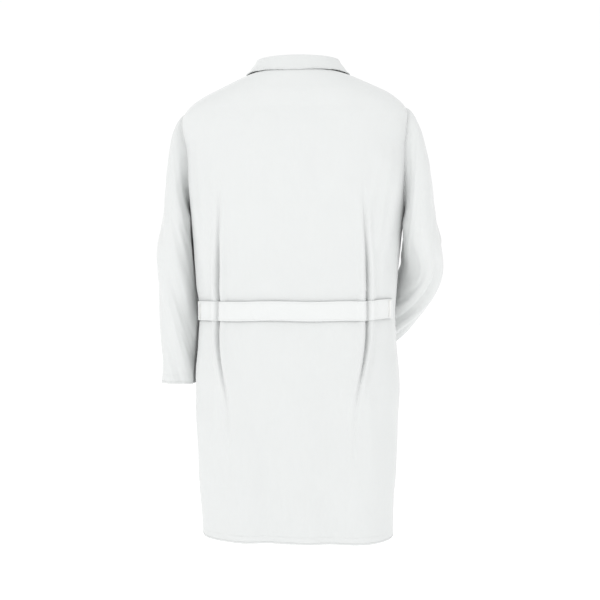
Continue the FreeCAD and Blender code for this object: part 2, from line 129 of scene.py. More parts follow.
def section_power(phi, z):
    """The section's squareness: the neck is round, the body squarer, most at the back."""
    square = smooth(-z, 0.0, 0.09)
    back = 2 + (BACK_POWER - 2) * square
    front = 2 + (FRONT_POWER - 2) * square
    share = smooth(np.sin(phi), -0.15, 0.15)
    return front + (back - front) * share


def bare(phi, z):
    """The body's surface with no folds: phi is 0 at the left side and 90 degrees at the back."""
    a, b = widths(z)
    power = section_power(phi, z)
    c, s = np.cos(phi), np.sin(phi)
    x = a * np.sign(c) * np.abs(c) ** (2 / power)
    y = b * np.sign(s) * np.abs(s) ** (2 / power)
    # the back rises more steeply to the collar than the chest does
    y = y + 0.0125 * (1 - smooth(-z, 0.0, 0.095)) * smooth(s, 0.1, 0.9)
    # the left shoulder is pulled out a little further than the right one
    pull = bump(z, -0.112, 0.055) * np.where(x > 0, 0.0145, 0.0035)
    return np.stack([x + np.sign(x) * pull * smooth(np.abs(x), 0.12, 0.23), y, z + 0 * x], -1)


def phi_at(x, z, side):
    """The angle at which the surface has this x, at the back (side 1) or the front (-1)."""
    a, _ = widths(z)
    power = section_power(side * math.pi / 2 + 0 * x, z)
    ratio = np.clip(x / a, -1, 1)
    return side * np.arccos(np.sign(ratio) * np.abs(ratio) ** (power / 2))


def tuck(distance):
    """The height across a waist tuck: two soft ridges and the sharp fold between them."""
    ridges = bump(distance, 0.009, 0.0065) + 0.8 * bump(distance, -0.010, 0.007)
    return ridges - 1.25 * bump(distance, 0.0, 0.0028)


def relief(p):
    """How far folds lift the cloth at a point of the bare surface."""
    x, y, z = p[..., 0], p[..., 1], p[..., 2]
    back = smooth(y, 0.0, 0.04)
    side = np.abs(x)
    height = 0 * x
    # waist tucks, strongest at the belt
    for sign in (1, -1):
        line = TUCK_SIDE + 0.004 * np.sin(z * 9) - 0.02 * smooth(-z, 0.56, 0.75)
        pull = smooth(-z, 0.24, 0.47) * (1 - smooth(-z, 0.58, 0.74))
        fade = 0.25 * smooth(-z, 0.18, 0.40) * (1 - smooth(-z, 0.70, 0.90))
        height += back * 0.0062 * (pull + fade) * tuck(sign * x - line)
        # folds that fan from the armhole down to the tuck, and out below it
        for start, end, size in ((0.238, 0.180, 0.0072), (0.214, 0.164, 0.0056),
                                 (0.194, 0.138, 0.0034)):
            way = np.clip((-z - 0.16) / 0.33, 0, 1)
            at = start + (end - start) * way
            height += back * size * bump(sign * x, at, 0.011) * np.sin(math.pi * way) ** 0.7
        for end, size in ((0.085, 0.0032), (0.125, 0.0046), (0.192, 0.0050)):
            way = np.clip((-z - 0.55) / 0.40, 0, 1)
            at = TUCK_SIDE - 0.012 + (end - TUCK_SIDE) * way
            height += back * size * bump(sign * x, at, 0.012 + 0.012 * way) * np.sin(math.pi * way)
    # the cloth blouses a little above the belt and is pulled in by it
    height += back * 0.004 * bump(z, -0.455, 0.04) * bump(side, 0.0, 0.17)
    height -= back * 0.003 * bump(z, -0.521, 0.03)
    # soft flutes towards the hem
    phi = np.arctan2(y, x)
    low = smooth(-z, 0.60, -HEM)
    height += 0.0042 * low * np.cos(7 * phi + 0.7) + 0.0022 * low * np.cos(12 * phi + 2.0)
    # shoulder blades and unevenness of hung cloth
    height += back * 0.004 * bump(side, 0.10, 0.07) * bump(z, -0.17, 0.08)
    body = smooth(-z, 0.01, 0.06)
    height += body * (0.0030 * value_noise(x * 1.3 + z * 0.25, z * 0.6, 0.095, 3)
                      + 0.0013 * value_noise(x * 1.3 - z * 0.5, z * 0.8, 0.048, 4)
                      + 0.0006 * value_noise(x * 1.5, z * 0.7, 0.026, 5))
    return height


def surface(phi, z, layer=0.0, folds=1.0):
    """A point of the body cloth, with a share of its folds, moved out by a layer."""
    phi, z = np.broadcast_arrays(np.asarray(phi, float), np.asarray(z, float))
    step = 1e-4
    base = bare(phi, z)
    along = bare(phi + step, z) - bare(phi - step, z)
    down = bare(phi, z - step) - bare(phi, np.minimum(z + step, NECK))
    normal = np.cross(down, along)
    normal /= np.maximum(np.linalg.norm(normal, axis=-1, keepdims=True), 1e-12)
    out = np.stack([base[..., 0], base[..., 1], 0 * base[..., 0]], -1)
    normal *= np.sign((normal * out).sum(-1, keepdims=True))
    return base + normal * (folds * relief(base) + layer)[..., None]


def on_body(x, z, side, layer=0.0):
    x, z = np.broadcast_arrays(np.asarray(x, float), np.asarray(z, float))
    return surface(phi_at(x, z, side), z, layer)


# Meshes ----------------------------------------------------------------------------------

def lengths(grid, axis):
    """Distance along rows or columns of a grid of points, from the first one."""
    steps = np.linalg.norm(np.diff(grid, axis=axis), axis=-1)
    zero = np.zeros_like(np.take(steps, [0], axis=axis))
    return np.concatenate([zero, np.cumsum(steps, axis=axis)], axis=axis)


def grid_object(name, grid, uv=None, round_u=False, keep=None, weight=None):
    """A mesh from a grid of points (rows, columns).  uv is in metres of cloth, and weight is
    how far each point follows the second body of a bend."""
    rows, columns = grid.shape[:2]
    if uv is None:
        u, v = lengths(grid, 1), lengths(grid, 0)
        uv = np.stack([np.broadcast_to(u[rows // 2], (rows, columns)), v], -1)
    faces = []
    for r in range(rows - 1):
        for c in range(columns - (0 if round_u else 1)):
            if keep is None or keep[r, c]:
                n = (c + 1) % columns
                faces.append((r * columns + c, (r + 1) * columns + c,
                              (r + 1) * columns + n, r * columns + n))
    mesh = bpy.data.meshes.new(name)
    mesh.from_pydata(grid.reshape(-1, 3).tolist(), [], faces)
    flat_uv = uv.reshape(-1, 2)
    layer = mesh.uv_layers.new(name="cloth")
    corner = np.zeros(len(mesh.loops), int)
    mesh.loops.foreach_get("vertex_index", corner)
    spots = flat_uv[corner].copy()
    if round_u:
        wide = flat_uv[:, 0].max() + np.linalg.norm(grid[0, 0] - grid[0, -1])
        shared = spots.reshape(-1, 4, 2)
        shared[..., 0] += np.where(shared[..., 0].max(1, keepdims=True) - shared[..., 0]
                                   > 0.5 * wide, wide, 0)
        spots = shared.reshape(-1, 2)
    layer.data.foreach_set("uv", spots.ravel())
    mesh.polygons.foreach_set("use_smooth", [True] * len(mesh.polygons))
    if weight is not None:
        follow = mesh.attributes.new("follow", "FLOAT", "POINT")
        follow.data.foreach_set("value", np.ravel(weight).astype(np.float32))
    obj = bpy.data.objects.new(name, mesh)
    bpy.context.scene.collection.objects.link(obj)
    clear_loose(obj)
    return obj


def clear_loose(obj):
    """Drop points that no face uses."""
    bm = bmesh.new()
    bm.from_mesh(obj.data)
    loose = [v for v in bm.verts if not v.link_faces]
    bmesh.ops.delete(bm, geom=loose, context="VERTS")
    bm.to_mesh(obj.data)
    bm.free()


def apply_modifiers(obj):
    depsgraph = bpy.context.evaluated_depsgraph_get()
    mesh = bpy.data.meshes.new_from_object(obj.evaluated_get(depsgraph), depsgraph=depsgraph)
    obj.modifiers.clear()
    old, obj.data = obj.data, mesh
    bpy.data.meshes.remove(old)
    mesh.name = obj.name
    return obj


def thicken(obj, thick, crisp=False):
    """Give a sheet its thickness on the inner side; crisp edges don't round the shading."""
    solid = obj.modifiers.new("thickness", "SOLIDIFY")
    solid.thickness = thick
    solid.offset = -1.0
    solid.use_even_offset = False
    apply_modifiers(obj)
    if crisp:
        bm = bmesh.new()
        bm.from_mesh(obj.data)
        for edge in bm.edges:
            edge.smooth = edge.calc_face_angle(0.0) < 1.0
        bm.to_mesh(obj.data)
        bm.free()
    return obj


def soften(obj, width, segments):
    """Round off the folded edges of a thick piece."""
    edge = obj.modifiers.new("soft_edge", "BEVEL")
    edge.width = width
    edge.segments = segments
    edge.limit_method = "ANGLE"
    apply_modifiers(obj)


def finish_piece(obj, material, body=None, nodes=()):
    obj.data.materials.clear()
    obj.data.materials.append(material)
    if nodes:
        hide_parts(*nodes)
    if body:
        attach(obj, body)
    return obj


def weigh(obj, weights=None):
    """Weights for bending a piece across a joint (0 follows a, 1 follows b), from its follow attribute or
    from weights of its own; they are not applied, and only the transform is baked in.
    """
    count = len(obj.data.vertices)
    if weights is None:
        values = np.zeros(count, np.float32)
        obj.data.attributes["follow"].data.foreach_get("value", values)
    else:
        spots = np.zeros(count * 3)
        obj.data.vertices.foreach_get("co", spots)
        values = weights(spots.reshape(-1, 3)).astype(np.float32)
    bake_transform(obj)
    return obj


# Materials ----------------------------------------------------------------------------------

def math_node(tree, operation, a, b=None, clamp=False):
    node = tree.nodes.new("ShaderNodeMath")
    node.operation = operation
    node.use_clamp = clamp
    for socket, value in zip(node.inputs, (a, b)):
        if value is None:
            continue
        if isinstance(value, (int, float)):
            socket.default_value = value
        else:
            tree.links.new(value, socket)
    return node.outputs[0]


def noise(tree, vector, scale, detail=3.0, rough=0.55):
    node = tree.nodes.new("ShaderNodeTexNoise")
    node.inputs["Scale"].default_value = scale
    node.inputs["Detail"].default_value = detail
    node.inputs["Roughness"].default_value = rough
    tree.links.new(vector, node.inputs["Vector"])
    return node.outputs["Fac"]


def stitch_height(tree, across, along, at, pitch=0.0028):
    """Height of a line of stitches at a distance across the cloth, in a pressed groove."""
    gap = math_node(tree, "ABSOLUTE", math_node(tree, "SUBTRACT", across, at))
    groove = math_node(tree, "SUBTRACT", 1.0, math_node(tree, "DIVIDE", gap, 0.0016), clamp=True)
    thread = math_node(tree, "LESS_THAN", gap, 0.00045)
    phase = math_node(tree, "FRACT", math_node(tree, "DIVIDE", along, pitch))
    on = math_node(tree, "LESS_THAN", phase, 0.72)
    dash = math_node(tree, "MULTIPLY", thread, on)
    return math_node(tree, "SUBTRACT", math_node(tree, "MULTIPLY", dash, 0.9),
                     math_node(tree, "MULTIPLY", groove, 0.8)), dash


def cloth_material(name, colour, rough=0.85, sheen=0.25, weave=0.00085, stitches=(), depth=0.0005):
    """Woven cloth: twill lines, slubs, soft creases and lines of stitches."""
    material = bpy.data.materials.new(name)
    material.use_nodes = True
    tree = material.node_tree
    shader = tree.nodes["Principled BSDF"]
    uv = tree.nodes.new("ShaderNodeUVMap")
    uv.uv_map = "cloth"
    split = tree.nodes.new("ShaderNodeSeparateXYZ")
    tree.links.new(uv.outputs[0], split.inputs[0])
    u, v = split.outputs[0], split.outputs[1]
    place = tree.nodes.new("ShaderNodeTexCoord").outputs["Object"]
    # twill: diagonal ribs, crossed by the finer warp threads
    ribs = math_node(tree, "SINE", math_node(
        tree, "MULTIPLY", math_node(tree, "ADD", u, math_node(tree, "MULTIPLY", v, 0.8)),
        2 * math.pi / weave))
    warp = math_node(tree, "SINE", math_node(tree, "MULTIPLY", u, 4 * math.pi / weave))
    twill = math_node(tree, "ADD", math_node(tree, "MULTIPLY", ribs, 0.6),
                      math_node(tree, "MULTIPLY", warp, 0.4))
    slub = noise(tree, place, 260.0, 2.0)
    creases = noise(tree, place, 34.0, 4.0, 0.6)
    height = math_node(tree, "ADD", math_node(tree, "MULTIPLY", twill, 0.10),
                       math_node(tree, "MULTIPLY", slub, 0.35))
    dashes = None
    for axis, at in stitches:
        across, along = (u, v) if axis == "u" else (v, u)
        line, dash = stitch_height(tree, across, along, at)
        height = math_node(tree, "ADD", height, line)
        dashes = dash if dashes is None else math_node(tree, "MAXIMUM", dashes, dash)
    fine = tree.nodes.new("ShaderNodeBump")
    fine.inputs["Strength"].default_value = 0.6
    fine.inputs["Distance"].default_value = depth
    tree.links.new(height, fine.inputs["Height"])
    soft = tree.nodes.new("ShaderNodeBump")
    soft.inputs["Strength"].default_value = 0.35
    soft.inputs["Distance"].default_value = 0.0016
    tree.links.new(creases, soft.inputs["Height"])
    tree.links.new(fine.outputs["Normal"], soft.inputs["Normal"])
    tree.links.new(soft.outputs["Normal"], shader.inputs["Normal"])
    # colour: barely uneven bleaching, threads a touch brighter
    ramp = tree.nodes.new("ShaderNodeMix")
    ramp.data_type = "RGBA"
    dark = [c * 0.965 for c in colour]
    ramp.inputs["A"].default_value = (*dark, 1)
    ramp.inputs["B"].default_value = (*colour, 1)
    tone = noise(tree, place, 7.0, 5.0, 0.6)
    tree.links.new(math_node(tree, "ADD", tone, math_node(tree, "MULTIPLY", twill, 0.12), clamp=True),
                   ramp.inputs["Factor"])
    tree.links.new(ramp.outputs["Result"], shader.inputs["Base Color"])
    worn = math_node(tree, "ADD", math_node(tree, "MULTIPLY", slub, 0.12), rough - 0.06)
    tree.links.new(worn, shader.inputs["Roughness"])
    shader.inputs["Sheen Weight"].default_value = sheen
    shader.inputs["Sheen Roughness"].default_value = 0.5
    shader.inputs["Specular IOR Level"].default_value = 0.25
    return material


def plastic_material():
    """Moulded button: glossy, faintly pearled, with fine scratches from washing."""
    material = bpy.data.materials.new("button_plastic")
    material.use_nodes = True
    tree = material.node_tree
    shader = tree.nodes["Principled BSDF"]
    place = tree.nodes.new("ShaderNodeTexCoord").outputs["Object"]
    mix = tree.nodes.new("ShaderNodeMix")
    mix.data_type = "RGBA"
    mix.inputs["A"].default_value = (0.80, 0.80, 0.77, 1)
    mix.inputs["B"].default_value = (0.90, 0.90, 0.88, 1)
    tree.links.new(noise(tree, place, 120.0, 4.0), mix.inputs["Factor"])
    tree.links.new(mix.outputs["Result"], shader.inputs["Base Color"])
    worn = math_node(tree, "ADD", math_node(tree, "MULTIPLY", noise(tree, place, 700.0), 0.18), 0.16)
    tree.links.new(worn, shader.inputs["Roughness"])
    marks = tree.nodes.new("ShaderNodeBump")
    marks.inputs["Strength"].default_value = 0.15
    marks.inputs["Distance"].default_value = 0.0002
    tree.links.new(noise(tree, place, 900.0, 2.0), marks.inputs["Height"])
    tree.links.new(marks.outputs["Normal"], shader.inputs["Normal"])
    shader.inputs["Coat Weight"].default_value = 0.3
    shader.inputs["Coat Roughness"].default_value = 0.12
    return material


WHITE = (0.655, 0.668, 0.664)
PLAIN = cloth_material("coat_twill", WHITE)
BUTTON = plastic_material()
THREAD = cloth_material("sewing_thread", (0.88, 0.88, 0.86), rough=0.7, weave=0.0005)
LABEL = cloth_material("label_tape", (0.78, 0.81, 0.85), rough=0.6, sheen=0.1, weave=0.0006)
TAPE = cloth_material("cotton_tape", (0.84, 0.84, 0.82), weave=0.0011)
BELT = cloth_material("belt_twill", (0.695, 0.707, 0.703), stitches=[("v", 0.004), ("v", 0.038)])
SHADE = cloth_material("slit_shade", (0.30, 0.31, 0.31))


def stitched(name, *lines):
    return cloth_material(name, WHITE, stitches=lines)


# Camera ---------------------------------------------------------------------------------------

VIEW_AZIMUTH = 187           # degrees, counted from straight in front
VIEW_AWAY = 2.70
VIEW_LEVEL = -0.497


def camera():
    """From behind, turned a little aside, and level with the middle of the coat."""
    azimuth = math.radians(VIEW_AZIMUTH)
    toward = Vector((math.sin(azimuth), -math.cos(azimuth), 0))
    data = bpy.data.cameras.new("camera")
    obj = bpy.data.objects.new("camera", data)
    bpy.context.scene.collection.objects.link(obj)
    data.lens = 72.7
    data.shift_x = 0.0033
    obj.location = toward * VIEW_AWAY + Vector((0, 0, VIEW_LEVEL))
    obj.rotation_euler = (-toward).to_track_quat("-Z", "Y").to_euler()
    bpy.context.scene.camera = obj


camera()


# Body cloth ----------------------------------------------------------------------------------

LEVELS = spline(BODY_ROWS, 240)[:, 0]
LEVELS[0], LEVELS[-1] = NECK, HEM
SEAM = -0.069                # the angle of the side seams
ARM_Y, ARM_Z = -0.004, -0.188
ARM_TALL, ARM_BACK, ARM_FRONT = 0.116, 0.052, 0.054
HINGE_X = 0.185


def armhole_share(p):
    """Below 1 inside an armhole, 1 on its seam."""
    y, z = p[..., 1] - ARM_Y, p[..., 2] - ARM_Z
    deep = np.where(y > 0, ARM_BACK, ARM_FRONT)
    share = (np.abs(y / deep) ** 2.5 + np.abs(z / ARM_TALL) ** 2.5) ** 0.4
    return np.where(np.abs(p[..., 0]) > 0.17, share, 9.0)


def side_point(y, z, side, layer=0.0):
    """A point of the body cloth beside an arm, from its y and level."""
    y, z = np.broadcast_arrays(np.asarray(y, float), np.asarray(z, float))
    _, b = widths(z)
    power = section_power(np.sign(y) * 0.3, z)
    phi = np.arcsin(np.sign(y) * np.clip(np.abs(y) / b, 0, 1) ** (power / 2))
    return surface(phi if side > 0 else math.pi - phi, z, layer)


def cut_armholes(grid, layer=0.0):
    """Which faces lie outside the armholes; points just inside are moved to the seam."""
    share = armhole_share(grid)
    most = np.maximum.reduce([share[:-1, :-1], share[1:, :-1], share[:-1, 1:], share[1:, 1:]])
    keep = np.ones(grid.shape[:2], bool)
    keep[:-1, :-1] = most >= 1.0
    for side in (1, -1):
        pick = (share < 1.0) & (share > 0.75) & (np.sign(grid[..., 0]) == side)
        y = ARM_Y + (grid[pick][:, 1] - ARM_Y) / share[pick]
        z = ARM_Z + (grid[pick][:, 2] - ARM_Z) / share[pick]
        grid[pick] = side_point(y, z, side, layer)
    return keep


def body_grid(angles):
    """The body cloth at every level, between angles round the body."""
    phi = angles if angles.ndim == 2 else np.broadcast_to(angles, (len(LEVELS), len(angles)))
    z = np.broadcast_to(LEVELS[:, None], phi.shape)
    return surface(phi, z)


def cloth_uv(grid):
    """Metres of cloth: u from the first column, v up from the hem."""
    return np.stack([lengths(grid, 1), lengths(grid[::-1], 0)[::-1]], -1)


def spaced_angles(first, last, count, fine_spots, fine_width):
    """Angles at even distances along the waist, closer together near the fine spots."""
    dense = np.linspace(first, last, 4000)
    ring = bare(dense, -0.5 + 0 * dense)
    step = np.r_[0, np.linalg.norm(np.diff(ring, axis=0), axis=1)]
    weight = 1 + sum(3.0 * bump(ring[:, 0], spot, fine_width) for spot in fine_spots)
    along = np.cumsum(step * weight)
    return np.interp(np.linspace(0, along[-1], count), along, dense)


def front_share(p):
    """How far a front follows its swing: all of it below the break, fading up to the neck."""
    low = smooth(-p[..., 2], 0.07, 0.40)
    return low * (1 - smooth(np.abs(p[..., 0]), HINGE_X - 0.030, HINGE_X + 0.018))


def roll_line(z):
    """|x| of a front's edge: the slant of the open neck, then the overlap below the break."""
    slant = 0.060 * (z - BREAK) / (0.020 - BREAK) + 0.001
    return np.where(z > BREAK, slant, 0.001 - 0.021 * smooth(BREAK - z, 0.0, 0.030))


def hem_dip(grid):
    """The back's hem hangs a little lower than the sides."""
    grid[..., 2] -= 0.0075 * smooth(grid[..., 1], 0.0, 0.11) * smooth(-grid[..., 2], 0.85, -HEM)
    return grid


def make_back():
    angles = spaced_angles(SEAM, math.pi - SEAM, 250, (TUCK_SIDE, -TUCK_SIDE), 0.022)
    grid = hem_dip(body_grid(angles))
    keep = cut_armholes(grid)
    piece = grid_object("back_cloth", grid, cloth_uv(grid), keep=keep)
    thicken(piece, CLOTH, crisp=True)
    finish_piece(piece, stitched("back_panel_twill", ("v", HEM_TALL), ("u", 0.006)), "torso",
                 ["back_panel"])


def front_grid(side, layer, near=None, far=None, levels=LEVELS, columns=84):
    """A front's cloth between two lines, columns running from the side to the middle."""
    rows = []
    for z in levels:
        edge = side * float(roll_line(z) if near is None else near(z))
        last = float(phi_at(np.array(edge), np.array(z), -1))
        first = SEAM if side > 0 else -math.pi - SEAM
        if far is not None:
            first = float(phi_at(np.array(side * float(far(z))), np.array(z), -1))
        rows.append(np.linspace(first, last, columns))
    return surface(np.array(rows), np.broadcast_to(np.asarray(levels)[:, None], (len(levels), columns)),
                   layer)


def make_front(side, name, layer):
    grid = front_grid(side, layer * smooth(np.linspace(0, 1, 84), 0.0, 0.16)[None, :])
    keep = cut_armholes(grid, 0.3 * layer)
    piece = grid_object(f"{name}_cloth", grid, cloth_uv(grid), keep=keep)
    thicken(piece, CLOTH, crisp=True)
    finish_piece(piece, stitched(f"{name}_twill", ("v", HEM_TALL), ("u", 0.006)), None,
                 [f"{name}_chest", f"{name}_panel"])
    weigh(piece, front_share)


def hem_band(name, angles, body, nodes, layer=0.0, bends=False):
    """The turned-up hem: a rolled lower edge and a band sewn inside."""
    rows = [(HEM + 0.0040, 0.0004), (HEM + 0.0008, 0.0006), (HEM - 0.0006, -0.0004),
            (HEM + 0.0004, -0.0019), (HEM + HEM_TALL * 0.5, -0.0022), (HEM + HEM_TALL, -0.0020)]
    grid = np.stack([surface(angles, np.maximum(z, HEM) + 0 * angles, layer + lift)
                     + np.array([0, 0, min(z - HEM, 0)]) for z, lift in rows])
    piece = grid_object(name, hem_dip(grid) if name == "back_hem_band" else grid)
    thicken(piece, 0.0006)
    finish_piece(piece, stitched(f"{name}_twill", ("v", 0.019)), None if bends else body, nodes)
    if bends:
        weigh(piece, front_share)


OVER, UNDER = 0.0015, -0.0008        # the left front lies over the right one
make_back()
make_front(1, "left_front", OVER)
make_front(-1, "right_front", UNDER)
EDGE = float(phi_at(np.array(-0.020), np.array(HEM), -1))
hem_band("back_hem_band", np.linspace(SEAM, math.pi - SEAM, 180), "torso", ["back_hem"])
hem_band("left_front_hem_band", np.linspace(SEAM, EDGE, 90), "left_front",
         ["left_front_hem"], OVER, True)
hem_band("right_front_hem_band", np.linspace(-math.pi - SEAM, -math.pi - EDGE, 90), "right_front",
         ["right_front_hem"], UNDER, True)


# Sleeves -------------------------------------------------------------------------------------

SPLIT = -0.384               # where the upper and lower pieces of a sleeve meet
SLEEVE_GAP = 0.0060          # the least distance between a sleeve and the body cloth


def seam_ring(side, turns, layer):
    """The armhole's seam, from the top, round the back, to the underarm and up the front."""
    c, s = np.cos(turns), np.sin(turns)
    deep = np.where(s > 0, ARM_BACK, ARM_FRONT)
    y = ARM_Y + deep * np.sign(s) * np.abs(s) ** 0.8
    z = ARM_Z + ARM_TALL * np.sign(c) * np.abs(c) ** 0.8
    return side_point(y, z, side, layer)


def sleeve_relief(along, turns, seed):
    """Soft drag folds and creases of a hanging sleeve."""
    back = 0.5 + 0.5 * np.sin(turns)
    height = 0.0030 * bump(along, 0.27, 0.11) * np.sin(3 * turns + along * 22 + seed)
    height += 0.0022 * np.sin(2 * turns - along * 34 + seed) * smooth(along, 0.10, 0.30)
    height += 0.0026 * value_noise(turns * 0.06 + along * 0.5, along * 0.8, 0.060, seed)
    height += 0.0012 * value_noise(turns * 0.06 - along * 0.6, along, 0.026, seed + 9)
    height += 0.0015 * back * bump(along, 0.12, 0.05) * np.sin(5 * turns + seed)
    return height * smooth(along, 0.0, 0.05)


def cap_rings(side, turns, bottom, rows):
    """Rings from the armhole's seam to a level ring, leaning over smoothly."""
    top = seam_ring(side, turns, -0.0015)
    c = np.cos(turns)
    high = 0.5 + 0.5 * c
    out = np.stack([side * (0.010 + 0.020 * high), 0.010 * np.sin(turns), -0.001 - 0.003 * high], -1)
    drop = (top - bottom)[:, 2]
    rise = np.stack([-side * 0.021 * high, 0 * c, drop * (0.42 + 0.22 * high)], -1)
    rings = []
    for t in np.linspace(0, 1, rows):
        rings.append((1 - t) ** 3 * top + 3 * (1 - t) ** 2 * t * (top + out)
                     + 3 * (1 - t) * t ** 2 * (bottom + rise) + t ** 3 * bottom)
    return np.array(rings)


def tube_ring(centre, across, deep_axis, wide, deep, turns, power=2.25):
    """One ring of a sleeve: across is its outward direction, deep_axis its backward one."""
    c, s = np.cos(turns), np.sin(turns)
    a = wide * np.sign(c) * np.abs(c) ** (2 / power)
    b = deep * np.sign(s) * np.abs(s) ** (2 / power)
    return centre + a[:, None] * across + b[:, None] * deep_axis


def ring_normals(rings):
    """Outward normals of a stack of closed rings."""
    around = np.roll(rings, -1, 1) - np.roll(rings, 1, 1)
    down = np.gradient(rings, axis=0)
    normal = np.cross(around, down)
    normal /= np.maximum(np.linalg.norm(normal, axis=-1, keepdims=True), 1e-12)
    outward = rings - rings.mean(1, keepdims=True)
    flip = np.sign((normal * outward).sum(-1).mean(1))
    return normal * flip[:, None, None]


def sleeve_rings(side, turns, path):
    """All the rings of a sleeve: the cap, then rings along the path of the arm."""
    centre, wide, deep, across, backward = path[0]
    bottom = tube_ring(centre, across, backward, wide, deep, turns)
    cap = cap_rings(side, turns, bottom, 46)
    arm = np.array([tube_ring(c, a, b, w, d, turns) for c, w, d, a, b in path[1:]])
    return np.concatenate([cap, arm])


def clear_of_body(rings, gap):
    """Move a sleeve's points outward where they would lie inside the body."""
    x, y, z = rings[..., 0], rings[..., 1], rings[..., 2]
    a, b = widths(z)
    power = section_power(np.clip(y / b, -1, 1), z)
    side = a * (1 - np.clip(np.abs(y) / b, 0, 0.995) ** power) ** (1 / power) + gap
    inside = (np.abs(y) < b) & (np.abs(x) < side)
    rings[..., 0] = np.where(inside, np.sign(x) * side, x)
    return rings


def straight_path(side):
    rows = spline([(-0.330, 0.2675, 0.009, 0.0405, 0.0755), (-0.432, 0.2690, 0.007, 0.0435, 0.0680),
                   (-0.560, 0.2670, 0.003, 0.0425, 0.0600), (CUFF, 0.2660, 0.000, 0.0410, 0.0540)], 84)
    x, y = np.array([side, 0.0, 0.0]), np.array([0.0, 1.0, 0.0])
    return [(np.array([side * cx, cy, z]), w, d, x, y) for z, cx, cy, w, d in rows]


def bent_path(side, axis, stations):
    """Rings that follow a bent arm through stations of (x, y, z, half width, half depth)."""
    rows = spline(stations, 100)
    flat = np.gradient(rows[:, :3], axis=0)
    flat /= np.linalg.norm(flat, axis=1, keepdims=True)
    path = []
    for row, down in zip(rows, flat):
        share = smooth(-row[2], 0.345, 0.44)
        across = np.array([side, 0.0, 0.0]) * (1 - share) + axis * share
        across -= down * (across @ down)
        across /= np.linalg.norm(across)
        backward = np.cross(down, across)
        backward *= np.sign(backward[1]) if abs(backward[1]) > 1e-9 else 1
        path.append((row[:3], row[3], row[4], across, backward))
    return path


def elbow_path():
    """The bent right arm: down the upper arm, round the elbow, then forward and inward."""
    axis = np.array([-0.8167, -0.577, 0.0])
    down = np.array([0.484, -0.685, -0.5446])
    elbow = np.array([-0.27374, -0.02544, -0.44877])
    upper = [(-0.2690, 0.007, -0.330, 0.0395, 0.0745), (-0.2725, -0.003, -0.380, 0.0415, 0.0680),
             (-0.2715, -0.0240, -0.433, 0.0380, 0.0555)]
    fore = [(*(elbow + down * away), wide, deep) for away, wide, deep in
            ((0.05, 0.0365, 0.0540), (0.12, 0.0360, 0.0540), (0.19, 0.0355, 0.0525),
             (0.25, 0.0350, 0.0500))]
    return bent_path(-1, axis, upper + fore)


def crook_folds(turns, along, split):
    """Creases pressed into the front of a bent elbow."""
    front = smooth(-np.sin(turns), -0.1, 0.8)
    deep = np.zeros(along.shape)
    for at, size, wide in ((0.030, 0.0030, 0.011), (0.060, 0.0042, 0.012), (0.092, 0.0028, 0.012)):
        deep += size * bump(along - split, at + 0.010 * np.sin(turns * 2), wide)
    return -deep * front


def make_sleeve(side, word, path, seed):
    turns = np.linspace(0, 2 * math.pi, 120, endpoint=False)
    rings = sleeve_rings(side, turns, path)
    along = lengths(rings, 0)
    normals = ring_normals(rings)
    middle = rings.mean(1)
    cut = int(np.argmax(middle[:, 2] < SPLIT))
    height = sleeve_relief(along, turns[None, :], seed)
    if side < 0:
        height = height + crook_folds(turns[None, :], along, along[cut].mean())
    rings = rings + normals * height[..., None]
    free = smooth(along, 0.02, 0.07)[..., None]
    rings = rings * (1 - free) + clear_of_body(rings.copy(), SLEEVE_GAP) * free
    follow = smooth(along, 0.004, 0.080)
    top = rings[:cut + 1]
    upper = grid_object(f"{word}_upper_sleeve_cloth", top, round_u=True, weight=follow[:cut + 1])
    thicken(upper, CLOTH, crisp=True)
    finish_piece(upper, stitched(f"{word}_upper_sleeve_twill", ("v", 0.006)), None,
                 [f"{word}_upper_sleeve"])
    weigh(upper)
    low = rings[cut:]
    beyond = along[cut:] - along[cut]
    follow = smooth(beyond, 0.0, 0.105)
    if side < 0:
        # a ring that is already bent follows the forearm by as much as it is bent
        way = np.gradient(middle[cut:], axis=0)
        way /= np.linalg.norm(way, axis=1, keepdims=True)
        bent = np.maximum.accumulate(np.arccos(np.clip(-way[:, 2], -1, 1)))
        follow = np.broadcast_to(((bent - bent[0]) / (bent[-1] - bent[0]))[:, None], beyond.shape)
    lower = grid_object(f"{word}_lower_sleeve_cloth", low, uv=cloth_uv(low), round_u=True,
                        weight=follow)
    thicken(lower, CLOTH, crisp=True)
    finish_piece(lower, stitched(f"{word}_lower_sleeve_twill", ("v", 0.020)), None,
                 [f"{word}_lower_sleeve"])
    weigh(lower)
    n = normals[-1]
    last, step = rings[-1], rings[-1] - rings[-2]
    out = step / np.linalg.norm(step, axis=1, keepdims=True)
    band = np.array([rings[-2] + n * 0.0004, last + n * 0.0004, last - n * 0.0006 + out * 0.0008,
                     last - n * 0.0020, rings[-3] - n * 0.0022, rings[-6] - n * 0.0020])
    cuff = grid_object(f"{word}_cuff_band", band, round_u=True)
    thicken(cuff, 0.0006)
    finish_piece(cuff, stitched(f"{word}_cuff_twill", ("v", 0.024)), f"{word}_forearm",
                 [f"{word}_cuff_hem"])


make_sleeve(1, "left", straight_path(1), 11)
make_sleeve(-1, "right", elbow_path(), 12)


# Collar and lapels -----------------------------------------------------------------------------

